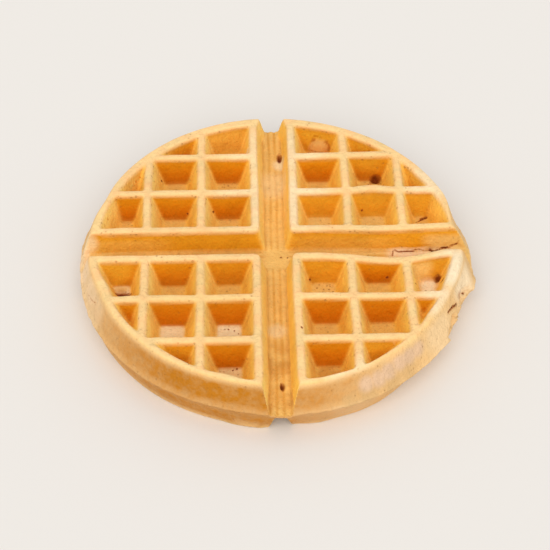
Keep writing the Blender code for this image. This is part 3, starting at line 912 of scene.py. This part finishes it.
crustLook = {
    "topColour": (0.95, 0.65, 0.29),
    "warmTopColour": (0.95, 0.57, 0.25),
    "sideColour": (1.0, 0.58, 0.10),
    # painted shade on side walls deep in a pocket
    "sideDeepShadeColour": (0.96, 0.46, 0.05),
    # painted light on walls facing right
    "leftWallLightColour": (1.0, 0.70, 0.195),
    # painted shade on pocket walls facing the camera
    "farShadeColour": (0.66, 0.235, 0.004),
    # painted shade, darker deep down the walls
    "deepShadeColour": (0.52, 0.125, 0.001),
    # painted shadow along the foot of the walls
    "footColour": (0.40, 0.09, 0.001),
    "floorColour": (0.81, 0.45, 0.11),
    # painted shade on groove walls facing the camera
    "grooveFarShadeColour": (0.72, 0.30, 0.012),
    "grooveColour": (0.86, 0.51, 0.155),
    "valleyColour": (0.67, 0.30, 0.035),
    # lighter painted shade on some walls facing the camera
    "goldenShadeColour": (0.72, 0.32, 0.02),
    "outerColour": (0.86, 0.55, 0.245),
    "brownColour": (0.50, 0.18, 0.012),
    "paleColour": (0.90, 0.70, 0.42),
    "creamColour": (0.97, 0.80, 0.55),
    "pinkColour": (0.93, 0.66, 0.41),
    "roseColour": (0.735, 0.485, 0.30),
    # painted shade on the outer wall under the rose band
    "dimShadeColour": (0.64, 0.39, 0.16),
    "strawColour": (0.84, 0.52, 0.16),
    "domeColour": (0.74, 0.36, 0.10),
    "poreColour": (0.50, 0.21, 0.05),
    "rustColour": (0.42, 0.11, 0.012),
    # painted shade inside pits, holes and cracks, also the dark colour of the small specks
    "pitShadeColour": (0.18, 0.028, 0.002),
    "roughness": 0.62,
    "gloss": 0.06,
    "bumpDistance": 0.0014,
    "bumpStrength": 0.9,
}

# sizes of the patterns in metres, and how many finer steps the finest one has
patterns = {"broad": 0.03, "blotch": 0.007, "fleck": 0.0028, "grain": 0.0011, "grainSteps": 4.0}

# how much of a tone shows at most, and how much of that a pattern or a mask adds or takes
shares = {
    # shares of painted shade: deep down the walls, at their foot and in the darker pockets
    "sideDeep": 0.5,
    "farDeep": 0.8,
    "foot": 0.15,
    "footFar": 0.35,
    "deep": 0.5,
    "deepFar": 0.5,
    "floor": 0.9,
    "groove": 0.9,
    "valley": 0.75,
    # brown flecks on rib edges, with a larger share of painted shade above walls facing the camera
    "scorchAndShade": 0.1,
    "farEdgeShade": 0.5,
    "mottleBlotch": 0.14,
    "mottleFleck": 0.10,
    "mottleLower": 0.6,
    "browned": 0.74,
    "brownedFleck": 0.2,
    "brownedBlotch": 0.16,
    "brownedSeam": 0.3,
    "brownedLower": 0.08,
    "softPatch": 0.7,
    "fullPatch": 0.8,
    "patchFleck": 0.4,
    "brownPatch": 0.6,
    "dome": 0.85,
    "domeRimShadow": 0.85,
    # painted shadow over the bubble's upper rim
    "tone": 0.82,
    "toneSteps": 0.08,
    "toneGrain": 0.16,
    "pitRim": 0.75,
    # painted shade inside pits and cracks
    "pit": 0.9,
    "pitRagged": 0.7,
}

# stretches of a pattern, or of the distance from a pit, over which something fades
fades = {
    "scorchAndShade": (0.35, 0.6),
    "warmTop": (0.35, 0.7),
    "mottleBlotch": (0.45, 0.75),
    "mottleFleck": (0.5, 0.8),
    "pinkPatch": (0.15, 0.5),
    "brownPatch": (0.35, 0.6),
    "tone": (0.3, 0.7),
    "blotchTone": (0.25, 0.75),
    "pitRim": (0.9, 1.45),
    "pit": (0.45, 1.0),
}

# pores by the mask they keep to: their spacing, their edge, size and edge of their clusters, strength
pores = {
    "allOver": (0.0032, (0.08, 0.16), 0.012, (0.46, 0.60), 0.3),
    "ribEdge": (0.0024, (0.13, 0.24), 0.009, (0.40, 0.55), 0.45),
    "pocketFloor": (0.0017, (0.14, 0.28), 0.007, (0.48, 0.60), 0.5),
    "outerWall": (0.0028, (0.09, 0.18), 0.008, (0.45, 0.6), 0.3),
}

# how much each pattern adds to the fine relief
relief = {"grain": 0.5, "blotch": 0.8, "fleck": 0.5, "pores": 0.8}


# pocket and groove walls: painted shade on those facing the camera and deeper down, painted light on those
# facing right
def wallTone(look, farWallShade):
    deepWallShade = look.mask("deepWallShade")
    side = look.mix(look.mask("leftWall"), crustLook["sideColour"], crustLook["leftWallLightColour"])
    side = look.mix(deepWallShade * shares["sideDeep"], side, crustLook["sideDeepShadeColour"])
    far = look.mix(look.mask("grooveWall"), crustLook["farShadeColour"], crustLook["grooveFarShadeColour"])
    far = look.mix(deepWallShade * shares["farDeep"], far, crustLook["deepShadeColour"])
    return look.mix(farWallShade, side, far)


def outerBrowning(look, blotch, fleck):
    # shares of the mottling all over the outer wall and of its browned stretches
    lowerWall = look.mask("lowerWall")
    mottle = look.step(blotch, *fades["mottleBlotch"]) * shares["mottleBlotch"]
    mottle = mottle + look.step(fleck, *fades["mottleFleck"]) * shares["mottleFleck"]
    mottle = mottle * look.mask("outerWall") * (1 - lowerWall * shares["mottleLower"])
    browned = look.step(fleck, *fades["tone"]) * shares["brownedFleck"] + shares["browned"]
    browned = browned + look.step(blotch, *fades["tone"]) * shares["brownedBlotch"]
    browned = browned * look.mask("edgeBrown") * (1 - look.mask("seamBand") * shares["brownedSeam"])
    return mottle, browned * (1 - lowerWall * shares["brownedLower"])


def poreShare(look):
    total = 0.0
    for region, (spacing, edge, clusterSize, clusterEdge, strength) in pores.items():
        pore = 1 - look.step(look.cells(spacing), *edge)
        if region != "allOver":
            pore = pore * look.mask(region)
        pore = pore * look.step(look.noise(clusterSize), *clusterEdge)
        total = total + pore * strength
    return total


def layTones(look, colour, tones):
    # lays tones over a colour, each by its share
    for amount, tone in tones:
        colour = look.mix(amount, colour, crustLook[tone])
    return colour


def bakedCrust():
    look = Finish("bakedCrust")
    broad = look.noise(patterns["broad"])
    blotch = look.noise(patterns["blotch"])
    fleck = look.noise(patterns["fleck"])
    grain = look.noise(patterns["grain"], patterns["grainSteps"])
    # walls facing the camera, which get painted shade
    farWallShade = look.mask("farWallShade")
    grooveFloor = look.mask("grooveFloor")
    # brown flecks along rib edges: browning, and much stronger above walls facing the camera as painted shade
    scorchAndShade = look.mask("ribEdge") * (farWallShade * shares["farEdgeShade"] + shares["scorchAndShade"])
    topColour = look.mix(look.step(blotch, *fades["warmTop"]), crustLook["topColour"],
                         crustLook["warmTopColour"])
    mottle, browned = outerBrowning(look, blotch, fleck)
    softPatch = fleck * shares["patchFleck"] + shares["softPatch"]
    fullPatch = fleck * shares["patchFleck"] + shares["fullPatch"]
    pinkPatch = look.mask("pinkPatch") * look.step(blotch, *fades["pinkPatch"])
    brownPatch = look.mask("brownPatch") * look.step(blotch, *fades["brownPatch"])
    mask = look.mask
    colour = layTones(look, wallTone(look, farWallShade), (
        # painted shadow along the foot of the walls
        (mask("pocketFootShade") * (farWallShade * shares["footFar"] + shares["foot"]), "footColour"),
        # lighter painted shade on some walls facing the camera
        (mask("goldenPatch") * farWallShade, "goldenShadeColour"),
        # painted shade in some pockets, most on walls facing the camera
        (mask("deepPatch") * (farWallShade * shares["deepFar"] + shares["deep"]), "deepShadeColour"),
        (mask("outerWall"), "outerColour"),
        (mask("pocketFloor") * shares["floor"], "floorColour"),
        (grooveFloor * shares["groove"], "grooveColour"),
        (grooveFloor * mask("valley") * shares["valley"], "valleyColour"),
        (scorchAndShade * look.step(fleck, *fades["scorchAndShade"]), "brownColour"),
    ))
    colour = look.mix(mask("ribTop"), colour, topColour)
    colour = layTones(look, colour, (
        (mottle, "brownColour"),
        (browned, "brownColour"),
        (mask("palePatch") * fullPatch, "paleColour"),
        (mask("creamPatch") * softPatch, "creamColour"),
        # painted shade on the outer wall under the rose band
        (mask("dimShadePatch"), "dimShadeColour"),
        (mask("rosePatch") * fullPatch, "roseColour"),
        (pinkPatch, "pinkColour"),
        (mask("strawPatch") * softPatch, "strawColour"),
        (mask("dome") * shares["dome"], "domeColour"),
        (brownPatch * shares["brownPatch"], "brownColour"),
        (mask("rustPatch"), "rustColour"),
        # painted shadow over the bubble's upper rim
        (mask("domeRimShadow") * shares["domeRimShadow"], "rustColour"),
    ))
    tone = look.step(broad, *fades["tone"]) + look.step(fleck, *fades["tone"])
    tone = (tone + look.step(blotch, *fades["blotchTone"])) * shares["toneSteps"]
    tone = tone + grain * shares["toneGrain"] + shares["tone"]
    shade = look.node("ShaderNodeCombineColor", {}, {"Red": tone, "Green": tone, "Blue": tone})
    colour = look.mix(1.0, colour, shade, "MULTIPLY")
    allPores = poreShare(look)
    pitEdge = look.mask("pitDistance") + (grain - 0.5) * shares["pitRagged"]
    colour = layTones(look, colour, (
        (allPores, "poreColour"),
        ((1 - look.step(pitEdge, *fades["pitRim"])) * shares["pitRim"], "rustColour"),
        # painted shade inside pits and cracks, also the dark colour of the small specks
        ((1 - look.step(pitEdge, *fades["pit"])) * shares["pit"], "pitShadeColour"),
    ))
    look.feed("Base Color", colour)
    height = grain * relief["grain"] + blotch * relief["blotch"] + fleck * relief["fleck"]
    bump = look.node("ShaderNodeBump", {}, {
        "Height": height - allPores * relief["pores"],
        "Distance": crustLook["bumpDistance"],
        "Strength": crustLook["bumpStrength"],
    })
    look.feed("Normal", bump)
    look.shader.inputs["Roughness"].default_value = crustLook["roughness"]
    look.shader.inputs["Specular IOR Level"].default_value = crustLook["gloss"]
    return look.material


# Floor, light and camera

studio = {
    "floorColour": (0.80, 0.765, 0.72),
    "floorSize": 12.0,
    "floorRoughness": 0.9,
    "skyColour": (1.0, 1.0, 1.0, 1.0),
    "skyStrength": 0.74,
    "sunStrength": 1.55,
    "sunElevation": 45.0,
    "sunAzimuth": 186.0,
    "sunAngle": 60.0,
}


def makeFloor():
    bpy.ops.mesh.primitive_plane_add(size=studio["floorSize"], location=(0, 0, 0))
    floor = bpy.context.object
    floor.name = "studioFloor"
    look = Finish("studioFloor")
    look.shader.inputs["Base Color"].default_value = (*studio["floorColour"], 1.0)
    look.shader.inputs["Roughness"].default_value = studio["floorRoughness"]
    look.shader.inputs["Specular IOR Level"].default_value = 0.0
    floor.data.materials.append(look.material)
    return floor


def makeLights():
    world = bpy.data.worlds.new("studio")
    world.use_nodes = True
    sky = world.node_tree.nodes["Background"]
    sky.inputs["Color"].default_value = studio["skyColour"]
    sky.inputs["Strength"].default_value = studio["skyStrength"]
    bpy.context.scene.world = world
    lamp = bpy.data.lights.new("softSun", "SUN")
    lamp.energy = studio["sunStrength"]
    lamp.angle = math.radians(studio["sunAngle"])
    sun = bpy.data.objects.new("softSun", lamp)
    elevation = math.radians(studio["sunElevation"])
    azimuth = math.radians(studio["sunAzimuth"])
    towards = Vector((math.sin(azimuth) * math.cos(elevation), math.cos(azimuth) * math.cos(elevation),
                      math.sin(elevation)))
    sun.rotation_euler = towards.to_track_quat("Z", "Y").to_euler()
    bpy.context.scene.collection.objects.link(sun)


def makeCamera():
    lens = bpy.data.cameras.new("photoView")
    lens.sensor_width = view["sensorWidth"]
    lens.lens = view["focalPixels"] / imageSize * lens.sensor_width
    lens.clip_end = view["clipEnd"]
    camera = bpy.data.objects.new("photoView", lens)
    right, up, back = viewAxes()
    place = np.array(view["aim"]) + (*iron["crossMiddle"], 0.0) + back * view["distance"]
    camera.location = place * millimetre
    camera.rotation_euler = Vector(back).to_track_quat("Z", "Y").to_euler()
    bpy.context.scene.collection.objects.link(camera)
    bpy.context.scene.camera = camera


makeCamera()
print("camera placed")
crustPiece = makeCrust()
crustPiece.data.materials.append(bakedCrust())
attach(crustPiece, "root")
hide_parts("waffle")
print("crust finished")
makeFloor()
makeLights()
bpy.context.scene.view_settings.view_transform = "Standard"
print("studio ready")
